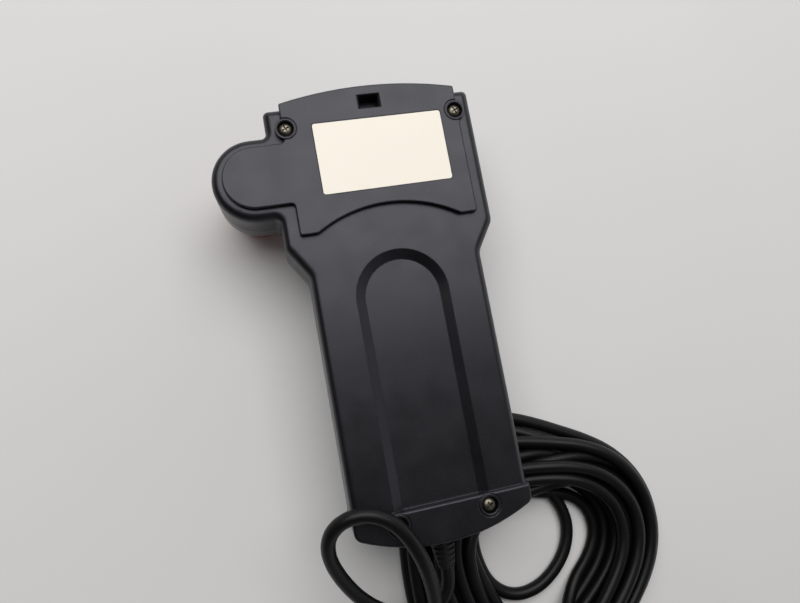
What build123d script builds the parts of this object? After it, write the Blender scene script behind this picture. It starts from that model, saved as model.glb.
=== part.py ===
from build123d import *

import os
from math import atan2, cos, degrees, pi, radians, sin, tan

# Teach pendant, lying face down on its own coiled cable and its stop button.
# +X is to the right and +Y to the head as the rear is seen, +Z is out of the rear cover, z = 0 is the table.
# Everything is drawn about the pendant's own long axis and moved sideways when it is written,
# so that the origin is below the middle of the pendant's box. The cable's points are in the final frame.

# Plan outline, seen from the rear
length = 182.1             # crown of the top arc to crown of the bottom arc
head_half = 42.2           # half width of the head
grip_half = 34.6           # half width of the grip
block_half = 34.8          # half width of the raised end block
crown_to_shoulder = 6.4    # top arc's crown down to the shoulders
crown_to_cheek = 62.5      # down to where the head starts to narrow
crown_to_waist = 74.5      # down to where the grip starts
top_setback = 1.6          # tongue's top edge under that crown
top_arc_rise = 4.0         # middle of the tongue's top edge over its corners
bottom_arc_rise = 8.2      # crown of the bottom arc over the bottom corners
shoulder_round = 2.0
cheek_round = 6.0
corner_round = 3.9
edge_round = 3.3           # moulded rounding of the rear edges
front_round = 1.6          # rounding of the front edges

# Lobe that carries the stop button, on the head's left
lobe_offset = 49.1         # lobe centre from the long axis
crown_to_lobe = 33.7
lobe_radius = 16.5
lobe_blend = 2.2           # inner corner between lobe and head

# Heights
stop_stands = 19.0         # stop button's face from the front face
front_depth = 10.2         # front cover, front face to split line
rear_depth = 16.2          # rear cover, split line to the sunk rear face
panel_step = 2.4           # raised panel over the sunk rear face
block_step = 1.4           # raised end block over the sunk rear face
wall = 2.4                 # side walls and front wall
rear_skin = 2.2            # thinnest rear wall
parting_reveal = 0.35      # shadow line between the covers, as deep as high

# Raised rear panel
panel_half = 35.6
panel_lobe_radius = 12.1
crown_to_panel_foot = 58.7
panel_knee_half = 28.6
panel_arch_rise = 8.3
panel_round = 0.5

# Grip recess
recess_half = 18.7
crown_to_recess = 68.8
recess_slope = 3.8
recess_depth = 2.2

block_length = 14.7        # end block, from the bottom crown

# Hook slot
slot_width = 7.6
slot_height = 5.0
slot_lead = 0.9
slot_depth = 7.2
slot_wall = 1.6
crown_to_slot = 8.3

# Cover screws, M3 pan head
crown_to_upper_screws = 15.9
upper_screw_half = 34.4
lower_screws_from_end = 10.0   # from the bottom crown
lower_screw_half = 17.7
screw_radius = 1.5
screw_head_radius = 2.8
screw_head_height = 2.3
screw_length = 17.5
cross_length = 3.0
cross_width = 0.6
screw_sink = 0.3           # head's top below the rim of its boss
counterbore_radius = 3.1
counterbore_lead = 0.3     # bevel at the counterbore's mouth
boss_radius = 4.1
boss_groove = 0.35         # groove round each boss, as wide as deep
pillar_radius = 3.5
thread_gap = 0.05

# Rating plate, bare
plate_width = 52.0
plate_height = 28.7
plate_thickness = 0.3
plate_round = 1.0
plate_shift = 1.9
crown_to_plate = 29.7
plate_gap = 0.15

# Seal between the covers
seal_width = 1.0
seal_height = 1.0
seal_gap = 0.05

# Display
display_shift = 3.0
crown_to_display = 33.5
window_width = 63.0
window_height = 25.0
window_thickness = 1.4
window_sink = 0.2
window_gap = 0.15
display_width = 56.0
display_height = 18.0
module_width = 62.0
module_height = 27.0
glass_thickness = 2.0
module_depth = 5.0

# Keys
key_columns = 4
key_rows = 5
key_pitch_x = 15.0
key_pitch_y = 14.0
crown_to_keys = 60.0       # down to the middle of the first row
key_width = 12.0
key_height = 8.6
key_round = 1.8
key_stands = 0.8           # key top from the front face
key_gap = 0.2
key_flange = 0.9           # flange past the key all round
key_flange_thickness = 0.8
key_flange_gap = 0.1
key_travel = 0.7
key_crown = 0.35

# Key mat and board
mat_gap = 0.12             # dome's top from the pressed key
mat_sheet = 1.0
dome_radius = 3.2
board_thickness = 1.6
board_half = 30.4
board_end_margin = 11.0    # board past the first and last rows of keys
board_post_radius = 2.1
board_screw_radius = 1.0
board_screw_head = 1.9
board_screw_length = 4.5
header_width = 16.0
header_height = 7.0
ribbon_x = -4.0
ribbon_width = 22.0

# Stop button
stop_radius = 13.2
stop_dome = 3.4
stop_cap = 11.6            # cap, face to underside
stop_rim_gap = 4.4         # cap's underside to the collar
stop_travel = 3.5
stop_grips = 16
grip_radius = 1.5
stem_radius = 3.2
stem_gap = 0.06
barrel_radius = 8.0
barrel_gap = 0.1
collar_radius = 13.0
collar_thickness = 2.2
stop_seal_thickness = 0.8
nut_across = 20.0
nut_thickness = 3.6
barrel_length = 9.6        # from the inner face of the front wall
contact_width = 17.0
contact_depth = 8.4
spring_wire = 0.6
spring_turns = 5

# Cable entry and cable
cable_diameter = 5.5
entry_radius = 4.6
entry_neck_gap = 0.1
relief_root = 5.4
relief_tip = 3.3
relief_length = 14.0
relief_collar = 6.0        # collar against the housing
relief_collar_width = 1.7
relief_flange_radius = 6.6
relief_flange = 2.2
relief_flange_gap = 0.4    # the wall curves, so the flange stands off at the middle
relief_rows = 5            # rows of slots, in two columns half a row apart
relief_row_margin = 0.9    # unslotted at both ends of the taper
relief_slot_width = 0.95
relief_slot_share = 0.6    # slot's depth as a share of the rubber over the cable
relief_spine = 9.0         # half angle of the spine between the columns, degrees
relief_rail = 66.0         # angle where the side rails start, degrees
clamp_from_entry = 14.0
clamp_width = 8.0
clamp_plate = 1.6
clamp_half = 10.5
clamp_post_radius = 2.3

# Cable coil on the table, a loose ring of turns with three soft lobes
coil_x = 58.0
coil_y = -114.0
coil_radius = 55.4         # outer edge, between a lobe and a hollow
coil_lobe = 4.4            # how far a lobe stands out
coil_lobe_turn = 10.0      # direction of one lobe, degrees
coil_layers = 3
coil_hole_x = 53.0
coil_hole_y = -113.0
coil_hole = 20.0

# Plug
plug_radius = 6.6
plug_length = 24.0
plug_shell_radius = 4.6
plug_shell_wall = 0.45
plug_shell_length = 11.0
plug_insert_sink = 4.0
plug_relief_length = 14.0
plug_pin_radius = 0.5
plug_pin_circle = 2.5
plug_pins = 7
plug_pin_length = 5.0

# Places that follow from the sizes
crown = length / 2
axis_x = (lobe_offset + lobe_radius - head_half) / 2
y_top = crown - top_setback
y_shoulder = crown - crown_to_shoulder
y_cheek = crown - crown_to_cheek
y_waist = crown - crown_to_waist
y_corner = -crown + bottom_arc_rise
y_block = -crown + block_length
y_lobe = crown - crown_to_lobe
y_foot = crown - crown_to_panel_foot
y_recess = crown - crown_to_recess
y_deep = y_recess + wall   # the head's deeper cavity starts past the recess
y_slot = crown - crown_to_slot
y_upper = crown - crown_to_upper_screws
y_lower = -crown + lower_screws_from_end
y_plate = crown - crown_to_plate
y_display = crown - crown_to_display
y_keys = crown - crown_to_keys
z_front = stop_stands
z_inner = z_front + wall
z_split = z_front + front_depth
z_base = z_split + rear_depth
z_panel = z_base + panel_step
z_block = z_base + block_step
z_grip_ceiling = z_base - recess_depth - rear_skin
z_head_ceiling = z_base - rear_skin


def write(name, *solids):
    """One node, one file, of one solid or several."""
    shape = solids[0] if len(solids) == 1 else Compound([s.solid() for s in solids])
    export_step(shape, f"parts/{name}.step")


def write_here(name, *solids):
    """Moves the pendant's own axis to its place in the part's frame."""
    write(name, *[Pos(axis_x, 0, 0) * s for s in solids])


def arc_outline(points):
    """A closed face from corners; a corner followed by a ('through', point) pair is joined by an arc."""
    edges = []
    count = len(points)
    for i, (start, through) in enumerate(points):
        end = points[(i + 1) % count][0]
        if through is None:
            edges.append(Line(start, end))
        else:
            edges.append(ThreePointArc(start, through, end))
    return make_face(edges)


def rounded(face, radius, test):
    """Rounds the corners of a flat face that the test picks."""
    corners = [v for v in face.vertices() if test(v.X, v.Y)]
    return fillet(corners, radius)


def near(a, b):
    return abs(a - b) < 0.01


def stadium(x_in, x_centre, y_centre, radius):
    """A round end at x_centre with straight sides that run to x_in."""
    middle = (x_in + x_centre) / 2
    run = abs(x_in - x_centre)
    return Pos(x_centre, y_centre) * Circle(radius) + Pos(middle, y_centre) * Rectangle(run, 2 * radius)


# Outlines


def body_outline():
    """Head, grip and lobe, without the panel's tongue."""
    corners = [
        ((-head_half, y_shoulder), None),
        ((head_half, y_shoulder), None),
        ((head_half, y_cheek), None),
        ((grip_half, y_waist), None),
        ((grip_half, y_corner), (0, -crown)),
        ((-grip_half, y_corner), None),
        ((-grip_half, y_waist), None),
        ((-head_half, y_cheek), None),
    ]
    face = arc_outline(corners)
    face = rounded(face, shoulder_round, lambda x, y: near(y, y_shoulder))
    face = rounded(face, cheek_round, lambda x, y: near(y, y_cheek) or near(y, y_waist))
    face = rounded(face, corner_round, lambda x, y: near(y, y_corner))
    face = face + stadium(-head_half + shoulder_round, -lobe_offset, y_lobe, lobe_radius)
    return rounded(face, lobe_blend, lambda x, y: near(x, -head_half) and near(abs(y - y_lobe), lobe_radius))


def panel_outline():
    """The raised panel: arched top, lobe on the left, arch over the recess."""
    corners = [
        ((-panel_half, y_top - top_arc_rise), (0, y_top)),
        ((panel_half, y_top - top_arc_rise), None),
        ((panel_half, y_foot), None),
        ((panel_knee_half, y_foot), (0, y_foot + panel_arch_rise)),
        ((-panel_knee_half, y_foot), None),
        ((-panel_half, y_foot), None),
    ]
    face = arc_outline(corners)
    face = rounded(face, 1.2, lambda x, y: near(y, y_foot) and near(abs(x), panel_half))
    face = rounded(face, 2.5, lambda x, y: near(y, y_foot) and near(abs(x), panel_knee_half))
    face = rounded(face, 0.8, lambda x, y: near(y, y_top - top_arc_rise))
    face = face + stadium(-panel_half + 1, -lobe_offset, y_lobe, panel_lobe_radius)
    return rounded(face, 1.5, lambda x, y: near(x, -panel_half) and near(abs(y - y_lobe), panel_lobe_radius))


def tongue_outline():
    """The panel's head end, which the whole wall follows past the shoulders."""
    corners = [
        ((-panel_half, y_top - top_arc_rise), (0, y_top)),
        ((panel_half, y_top - top_arc_rise), None),
        ((panel_half, y_shoulder - shoulder_round), None),
        ((-panel_half, y_shoulder - shoulder_round), None),
    ]
    return rounded(arc_outline(corners), 0.8, lambda x, y: near(y, y_top - top_arc_rise))


def block_outline():
    """The raised end block, a little wider than the grip."""
    corners = [
        ((-block_half, y_block), None),
        ((block_half, y_block), None),
        ((block_half, y_corner), (0, -crown)),
        ((-block_half, y_corner), None),
    ]
    return rounded(arc_outline(corners), corner_round, lambda x, y: near(y, y_corner))


def recess_outline(inset):
    """U shape with a round top, its foot at the end block."""
    half = recess_half - inset
    y_centre = y_recess - recess_half
    corners = [
        ((-half, y_block), None),
        ((-half, y_centre), (0, y_centre + half)),
        ((half, y_centre), None),
        ((half, y_block), None),
    ]
    return arc_outline(corners)


def plate_outline(margin):
    """The bare plate with its small corner rounds, or its shallow pocket."""
    width = plate_width + 2 * margin
    height = plate_height + 2 * margin
    return Pos(plate_shift, y_plate) * RectangleRounded(width, height, plate_round + margin)


def shell_outline():
    return body_outline() + tongue_outline() + block_outline()


def prism(face, z_low, z_high):
    return extrude(Pos(0, 0, z_low) * face, amount=z_high - z_low)


def cylinder(x, y, radius, z_low, z_high):
    return prism(Pos(x, y) * Circle(radius), z_low, z_high)


def block_box(x, y, width, height, z_low, z_high):
    return prism(Pos(x, y) * Rectangle(width, height), z_low, z_high)


def wire_edges_at(solid, z):
    """Outer edges of the largest flat face at height z."""
    faces = [f for f in solid.faces() if near(f.center().Z, z) and abs(f.normal_at().Z) > 0.99]
    return max(faces, key=lambda f: f.area).outer_wire().edges()


outline = shell_outline()
inner_outline = offset(outline, amount=-wall, kind=Kind.INTERSECTION)

screw_places = [
    (-upper_screw_half, y_upper, z_panel),
    (upper_screw_half, y_upper, z_panel),
    (-lower_screw_half, y_lower, z_block),
    (lower_screw_half, y_lower, z_block),
]


def seal_ring(width, middle):
    """A band that follows the wall's middle line."""
    outside = offset(outline, amount=-(middle - width / 2), kind=Kind.INTERSECTION)
    inside = offset(outline, amount=-(middle + width / 2), kind=Kind.INTERSECTION)
    return outside - inside


def entry_cut(radius):
    """Round hole for the strain relief, along Y on the split line."""
    reach = 2 * (wall + bottom_arc_rise)
    return Pos(0, -crown, z_split) * Rot(90, 0, 0) * Cylinder(radius, reach)


def rear_cover():
    """Rear shell with its raised panel, recess, end block, screw bosses and hook pocket."""
    base = prism(body_outline(), z_split, z_base)
    base = fillet(wire_edges_at(base, z_base), edge_round)
    block = prism(block_outline(), z_split, z_block)
    block = fillet(wire_edges_at(block, z_block), 1.0)
    panel = prism(panel_outline(), z_base - edge_round - 1, z_panel)
    panel = panel + prism(tongue_outline(), z_split, z_panel)
    panel = fillet(wire_edges_at(panel, z_panel), panel_round)
    cover = base + block + panel
    reveal = outline - offset(outline, amount=-parting_reveal, kind=Kind.INTERSECTION)
    cover = cover - prism(reveal, z_split, z_split + parting_reveal)
    for x, y, z_top in screw_places:
        cover = cover - cylinder(x, y, boss_radius + boss_groove, z_top - boss_groove, z_top + 1)
        cover = cover + cylinder(x, y, boss_radius, z_base - edge_round, z_top)
    recess = loft([
        Pos(0, 0, z_base - recess_depth) * recess_outline(recess_slope),
        Pos(0, 0, z_base) * recess_outline(0),
    ])
    cover = cover - recess - prism(recess_outline(0), z_base, z_base + 0.4)
    head = inner_outline & (Pos(0, y_deep + length / 2) * Rectangle(4 * head_half, length))
    cavity = prism(inner_outline, z_split, z_grip_ceiling) + prism(head, z_grip_ceiling - 1, z_head_ceiling)
    for x, y, z_top in screw_places:
        cavity = cavity - cylinder(x, y, boss_radius, z_split, z_top)
    pocket_floor = z_panel - slot_depth
    pocket_width = slot_width + 2 * slot_wall
    pocket_height = slot_height + 2 * slot_wall
    cavity = cavity - block_box(0, y_slot, pocket_width, pocket_height, pocket_floor - slot_wall, z_panel)
    cover = cover - cavity
    mouth = loft([
        Pos(0, y_slot, z_panel - slot_lead) * Rectangle(slot_width, slot_height),
        Pos(0, y_slot, z_panel) * Rectangle(slot_width + 2 * slot_lead, slot_height + slot_lead),
    ])
    cover = cover - mouth - block_box(0, y_slot, slot_width, slot_height, pocket_floor, z_panel)
    for x, y, z_top in screw_places:
        seat = z_top - screw_sink - screw_head_height
        bore = cylinder(x, y, counterbore_radius, seat, z_top + 1)
        lead = Pos(x, y, z_top - counterbore_lead / 2) * Cone(counterbore_radius, counterbore_radius + counterbore_lead,
                                                              counterbore_lead)
        cover = cover - bore - lead
        cover = cover - cylinder(x, y, screw_radius + 0.2, z_split, z_top)
    cover = cover - prism(plate_outline(plate_gap), z_panel - plate_thickness, z_panel + 1)
    cover = cover - prism(seal_ring(seal_width + 2 * seal_gap, wall / 2), z_split, z_split + seal_height)
    return cover - entry_cut(entry_radius)


def front_cover():
    """Front shell with the window, the key holes, the stop button's hole and the posts."""
    shell = prism(outline, z_front, z_split)
    shell = fillet(wire_edges_at(shell, z_front), front_round)
    shell = shell - prism(inner_outline, z_inner, z_split)
    for x, y, z_top in screw_places:
        z_tip = z_top - screw_sink - screw_head_height - screw_length
        shell = shell + cylinder(x, y, pillar_radius, z_front + wall / 2, z_split)
        shell = shell - cylinder(x, y, screw_radius + thread_gap, z_tip, z_split)
    for x, y in board_posts():
        shell = shell + cylinder(x, y, board_post_radius, z_front + wall / 2, z_board)
        shell = shell - cylinder(x, y, board_screw_radius + thread_gap, z_inner + 0.2, z_board)
    for side in (-1, 1):
        x = side * (clamp_half - clamp_post_radius)
        shell = shell + cylinder(x, y_clamp, clamp_post_radius, z_front + wall / 2, z_clamp)
        z_tip = z_clamp - board_screw_length
        shell = shell - cylinder(x, y_clamp, board_screw_radius + thread_gap, z_tip, z_clamp)
    opening_width = window_width + 2 * window_gap
    opening_height = window_height + 2 * window_gap
    shell = shell - block_box(display_shift, y_display, opening_width, opening_height,
                              z_front - 1, z_front + window_sink + window_thickness)
    shell = shell - block_box(display_shift, y_display, display_width, display_height, z_front, z_inner)
    for x, y in key_places():
        hole = Pos(x, y) * RectangleRounded(key_width + 2 * key_gap, key_height + 2 * key_gap, key_round)
        shell = shell - prism(hole, z_front - 1, z_inner + 1)
    shell = shell - cylinder(-lobe_offset, y_lobe, barrel_radius + barrel_gap, z_front - 1, z_inner + 1)
    return shell - entry_cut(entry_radius)


def cover_screws():
    """Four pan-head screws with cross recesses, one solid each."""
    screws = []
    for x, y, z_top in screw_places:
        z_seat = z_top - screw_sink - screw_head_height
        z_end = z_seat - screw_length
        profile = make_face([
            Line((0, z_end), (screw_radius, z_end)),
            Line((screw_radius, z_end), (screw_radius, z_seat)),
            Line((screw_radius, z_seat), (screw_head_radius, z_seat)),
            Line((screw_head_radius, z_seat), (screw_head_radius, z_seat + screw_head_height * 0.5)),
            ThreePointArc((screw_head_radius, z_seat + screw_head_height * 0.5),
                          (screw_head_radius * 0.72, z_seat + screw_head_height * 0.87),
                          (0, z_seat + screw_head_height)),
            Line((0, z_seat + screw_head_height), (0, z_end)),
        ])
        screw = Pos(x, y, 0) * revolve(Plane.XZ * profile, Axis.Z)
        cross = Rectangle(cross_length, cross_width) + Rectangle(cross_width, cross_length)
        cross = Pos(x, y, z_seat + screw_head_height * 0.35) * Rot(0, 0, 25) * cross
        screw = screw - extrude(cross, amount=screw_head_height)
        screws.append(screw)
    return screws


def rating_plate():
    return prism(plate_outline(0), z_panel - plate_thickness, z_panel)


def housing_seal():
    ring = prism(seal_ring(seal_width, wall / 2), z_split, z_split + seal_height)
    return ring - entry_cut(entry_radius + 0.3)


# Display


def display_window():
    z_low = z_front + window_sink
    window = Pos(display_shift, y_display) * Rectangle(window_width, window_height)
    return prism(window, z_low, z_low + window_thickness)


def display_glass():
    glass = Pos(display_shift, y_display) * Rectangle(display_width + 2, display_height + 2)
    return prism(glass, z_inner, z_inner + glass_thickness)


def display_module():
    """The metal frame and board round the glass."""
    frame = block_box(display_shift, y_display, module_width, module_height, z_inner, z_inner + module_depth)
    return frame - display_glass()


# Keys, mat and board

z_flange = z_inner + key_flange_gap
z_key_back = z_flange + key_flange_thickness
z_dome = z_key_back + key_travel + mat_gap
z_mat = z_dome + 0.3
z_board = z_mat + mat_sheet
z_board_back = z_board + board_thickness
board_top = y_keys + board_end_margin
board_bottom = y_keys - (key_rows - 1) * key_pitch_y - board_end_margin
board_middle = (board_top + board_bottom) / 2
y_clamp = -crown + wall + clamp_from_entry
z_clamp = z_split - cable_diameter / 2 + 1.2


def key_places():
    places = []
    for row in range(key_rows):
        for column in range(key_columns):
            x = (column - (key_columns - 1) / 2) * key_pitch_x
            places.append((x, y_keys - row * key_pitch_y))
    return places


def board_posts():
    x = board_half - board_post_radius - 0.3
    inset = board_post_radius + 0.3
    return [(s * x, y) for y in (board_top - inset, board_bottom + inset) for s in (-1, 1)]


def key(x, y):
    """A moulded key with a crowned top, and the flange that keeps it behind the front wall."""
    face = Pos(x, y) * RectangleRounded(key_width, key_height, key_round - key_gap)
    cap = prism(face, z_front - key_stands, z_flange + 0.1)
    cap = fillet(wire_edges_at(cap, z_front - key_stands), key_crown)
    flange = block_box(x, y, key_width + 2 * key_flange, key_height + 2 * key_flange, z_flange, z_key_back)
    return cap + flange


def keypad_mat():
    """Silicone sheet with one dome behind each key."""
    width = (key_columns - 1) * key_pitch_x + key_width + 2 * key_flange
    height = (key_rows - 1) * key_pitch_y + key_height + 2 * key_flange
    mat = block_box(0, y_keys - (key_rows - 1) * key_pitch_y / 2, width, height, z_mat, z_board)
    for x, y in key_places():
        mat = mat + cylinder(x, y, dome_radius, z_dome, z_mat)
    return mat


def main_board():
    board = block_box(0, board_middle, 2 * board_half, board_top - board_bottom, z_board, z_board_back)
    for x, y in board_posts():
        board = board - cylinder(x, y, board_screw_radius + 0.15, z_board, z_board_back)
    return board


def pan_screw(x, y, z_seat, head_radius, shank_radius, shank_length):
    head = cylinder(x, y, head_radius, z_seat, z_seat + 1.3)
    head = fillet(wire_edges_at(head, z_seat + 1.3), 0.5)
    return head + cylinder(x, y, shank_radius, z_seat - shank_length, z_seat)


def board_screws():
    length_in_board = z_board_back - z_inner - 0.4
    return [pan_screw(x, y, z_board_back, board_screw_head, board_screw_radius, length_in_board)
            for x, y in board_posts()]


def board_chips():
    """Processor, memory and driver chips on the board's rear face."""
    spots = [
        (-10, 14, 14, 14, 1.6), (12, 18, 9, 6, 1.4), (12, 6, 9, 6, 1.4), (-14, -8, 7, 5, 1.2), (4, -8, 5, 4, 1.2),
    ]
    return [block_box(x, board_middle + y, w, h, z_board_back, z_board_back + t) for x, y, w, h, t in spots]


def buzzer():
    """Round sounder with its sound hole."""
    x = board_half - 10
    y = board_middle - 8
    body = cylinder(x, y, 6.0, z_board_back, z_board_back + 5.5)
    return body - cylinder(x, y, 1.0, z_board_back + 4.5, z_board_back + 5.5)


y_header = board_bottom + header_height / 2 + 1.5


def cable_header():
    """Board connector that the cable's core goes into."""
    return block_box(0, y_header, header_width, header_height, z_board_back, z_split + cable_diameter / 2 + 1.5)


def display_ribbon():
    """Flat flexible lead from the display's board down to the main board."""
    z_module = z_inner + module_depth
    y_start = y_display - module_height / 2 + 6
    y_end = board_top - 8
    thickness = 0.35
    high = z_module + 2.5
    middle = (y_start + y_end) / 2
    from_module = block_box(ribbon_x, y_start, ribbon_width, thickness, z_module, high)
    across = block_box(ribbon_x, middle, ribbon_width, y_start - y_end + thickness, high, high + thickness)
    to_board = block_box(ribbon_x, y_end, ribbon_width, thickness, z_board_back, high)
    return from_module + across + to_board


# Stop button

stop_x = -lobe_offset
z_cap_back = stop_cap
z_collar = z_front - collar_thickness - stop_seal_thickness
z_barrel_end = z_inner + barrel_length
stem_end = z_barrel_end - stop_travel - 1.2


def stop_head():
    """Mushroom cap with a domed face, finger grips round its edge and a hub under it."""
    profile = make_face([
        ThreePointArc((0, 0), (stop_radius * 0.55, stop_dome * 0.16), (stop_radius - 2.2, stop_dome * 0.62)),
        ThreePointArc((stop_radius - 2.2, stop_dome * 0.62), (stop_radius - 0.5, stop_dome * 0.98),
                      (stop_radius, stop_dome * 1.6)),
        Line((stop_radius, stop_dome * 1.6), (stop_radius - 0.8, z_cap_back)),
        Line((stop_radius - 0.8, z_cap_back), (0, z_cap_back)),
        Line((0, z_cap_back), (0, 0)),
    ])
    cap = Pos(stop_x, y_lobe, 0) * revolve(Plane.XZ * profile, Axis.Z)
    for i in range(stop_grips):
        turn = 2 * pi * i / stop_grips
        x = stop_x + (stop_radius + grip_radius * 0.45) * cos(turn)
        y = y_lobe + (stop_radius + grip_radius * 0.45) * sin(turn)
        cap = cap - cylinder(x, y, grip_radius, stop_dome, z_cap_back + 1)
    return cap - cylinder(stop_x, y_lobe, stem_radius + stem_gap, z_cap_back - 3, z_cap_back + 1)


def stop_stem():
    """Plunger from the cap into the barrel, with the collar that the spring pushes on."""
    stem = cylinder(stop_x, y_lobe, stem_radius, z_cap_back - 3, stem_end)
    return stem + cylinder(stop_x, y_lobe, stem_radius + 1.6, z_inner + 0.6, z_inner + 1.8)


def stop_barrel():
    """Threaded barrel with its collar under the cap, closed at the inner end."""
    flange = cylinder(stop_x, y_lobe, collar_radius, z_collar, z_front - stop_seal_thickness)
    flange = chamfer(wire_edges_at(flange, z_collar), 0.8)
    barrel = flange + cylinder(stop_x, y_lobe, barrel_radius, z_collar, z_barrel_end)
    barrel = barrel - cylinder(stop_x, y_lobe, stem_radius + stem_gap, z_collar - 1, z_inner + 0.5)
    return barrel - cylinder(stop_x, y_lobe, stem_radius + 1.7, z_inner + 0.5, z_barrel_end - 1.0)


def stop_seal():
    ring = Pos(stop_x, y_lobe) * (Circle(collar_radius - 0.6) - Circle(barrel_radius + barrel_gap))
    return prism(ring, z_front - stop_seal_thickness, z_front)


def stop_nut():
    hexagon = RegularPolygon(nut_across / 2, 6, major_radius=False)
    ring = Pos(stop_x, y_lobe) * (hexagon - Circle(barrel_radius + thread_gap))
    return prism(ring, z_inner, z_inner + nut_thickness)


def stop_spring():
    """Coil spring between the stem's collar and the barrel's closed end."""
    low = z_inner + 1.9 + spring_wire
    high = z_barrel_end - 1.1 - spring_wire
    radius = stem_radius + 0.75
    coil = Helix(pitch=(high - low) / spring_turns, height=high - low, radius=radius)
    start = coil @ 0
    wire = sweep(Plane(origin=start, z_dir=coil % 0) * Circle(spring_wire / 2), path=coil)
    return Pos(stop_x, y_lobe, low) * wire


def contact_block():
    """Switch block on the barrel's inner end, with its two terminal rows."""
    z_low = z_barrel_end
    body = block_box(stop_x, y_lobe, contact_width, contact_width - 3, z_low, z_low + contact_depth)
    return fillet([e for e in body.edges() if abs((e % 0.5).Z) > 0.99], 1.0)


def contact_terminals():
    z_low = z_barrel_end + contact_depth
    return [block_box(stop_x + dx, y_lobe + dy, 2.4, 0.6, z_low, z_low + 1.6)
            for dx in (-5, 0, 5) for dy in (-4, 4)]


# Cable entry


def closed_face(points):
    """Straight-sided face through (radius, distance) points."""
    return make_face(Polyline(*points, close=True))


def along_y(radius_profile):
    """Turns (radius, y) points about the cable's axis at the split line."""
    return Pos(0, 0, z_split) * revolve(closed_face(radius_profile), Axis.Y)


def strain_relief():
    """Tapered relief with a collar and a ladder of slots; its flange is held between the covers."""
    y_wall = -crown
    y_flange = y_wall + wall + relief_flange_gap
    y_root = y_wall - 0.1
    y_taper = y_root - relief_collar_width
    neck = entry_radius - entry_neck_gap
    points = [
        (0, y_flange + relief_flange), (relief_flange_radius, y_flange + relief_flange),
        (relief_flange_radius, y_flange), (neck, y_flange), (neck, y_root), (relief_collar, y_root),
        (relief_collar, y_taper + 0.4), (relief_collar - 0.4, y_taper), (relief_root, y_taper),
        (relief_tip, relief_end() + 0.4), (relief_tip - 0.4, relief_end()), (0, relief_end()),
    ]
    relief = along_y(points)
    run = y_taper - relief_end() - 2 * relief_row_margin
    pitch = (run - relief_slot_width) / (relief_rows - 0.5)
    for row in range(relief_rows):
        for side in (-1, 1):
            y_slot_top = y_taper - relief_row_margin - pitch * (row if side < 0 else row + 0.5)
            if y_slot_top - relief_slot_width > relief_end() + relief_row_margin - 0.01:
                for upward in (-1, 1):
                    relief = relief - relief_slot(y_slot_top, side, upward, y_taper)
    return relief


def relief_slot(y_high, side, upward, y_taper):
    """One slot of the ladder: a sector round the cable between the spine and the side rail."""
    share = (y_taper - y_high) / (y_taper - relief_end())
    outer = relief_root + (relief_tip - relief_root) * share
    inner = outer - relief_slot_share * (outer - cable_diameter / 2)
    reach = 2 * relief_collar
    corners = [(0, 0)]
    for angle in (relief_spine, relief_rail):
        corners.append((side * reach * sin(radians(angle)), upward * reach * cos(radians(angle))))
    sector = closed_face(corners) - Circle(inner)
    return Pos(0, y_high, z_split) * extrude(Plane.XZ * sector, amount=relief_slot_width)


def relief_end():
    """Where the cable leaves the relief."""
    return -crown - relief_length


def cable_core():
    """The cable inside the housing, from the relief's flange to the board connector."""
    start = -crown + wall + relief_flange_gap + relief_flange
    end = y_header - header_height / 2
    run = end - start
    return Pos(0, (start + end) / 2, z_split) * Rot(90, 0, 0) * Cylinder(cable_diameter / 2, run)


def cable_clamp():
    """Saddle over the cable, screwed to two posts."""
    outer = cable_diameter / 2 + clamp_plate
    feet = Pos(0, z_clamp + clamp_plate / 2) * Rectangle(2 * clamp_half, clamp_plate)
    arch = Pos(0, z_split) * Circle(outer)
    below = Pos(0, z_clamp - outer) * Rectangle(4 * outer, 2 * outer)
    section = feet + (arch - below)
    section = section - Pos(0, z_split) * Circle(cable_diameter / 2 + 0.05)
    section = section - (Pos(0, z_clamp) * Rectangle(cable_diameter + 0.1, 2 * (z_split - z_clamp)))
    saddle = extrude(Plane.XZ * section, amount=clamp_width / 2, both=True)
    saddle = Pos(0, y_clamp, 0) * saddle
    for side in (-1, 1):
        x = side * (clamp_half - clamp_post_radius)
        saddle = saddle - cylinder(x, y_clamp, board_screw_radius + 0.15, z_clamp - 1, z_clamp + clamp_plate + 1)
    return saddle


def clamp_screws():
    z_seat = z_clamp + clamp_plate
    x = clamp_half - clamp_post_radius
    return [pan_screw(side * x, y_clamp, z_seat, board_screw_head, board_screw_radius, board_screw_length)
            for side in (-1, 1)]


# Cable, in the final frame

lead_points = [
    (axis_x, relief_end(), z_split), (axis_x, relief_end() - 6.0, z_split), (7.9, -117.2, 28.8),
    (0.8, -120.4, 28.2), (-8.2, -119.6, 28.2), (-17.0, -115.0, 29.6), (-25.0, -106.6, 33.4),
    (-30.8, -95.8, 39.0), (-33.6, -85.8, 45.0), (-32.2, -77.8, 50.0), (-26.4, -72.8, 53.6),
    (-18.2, -72.0, 55.0), (-10.2, -75.8, 55.0), (-4.4, -83.2, 53.8), (-0.2, -93.4, 51.4),
    (2.2, -105.6, 46.0), (2.8, -118.8, 38.8), (4.6, -131.2, 31.2), (9.8, -142.8, 25.0),
    (18.0, -149.6, 22.0), (28.0, -150.6, 18.0), (37.0, -147.6, 11.0),
]
end_points = [
    (46.0, -168.0, 4.2), (56.0, -171.6, 3.0), (68.0, -175.4, 3.0), (82.0, -180.0, 4.4), (97.0, -183.6, 6.6),
    (115.0, -184.6, 6.6),
]


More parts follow.
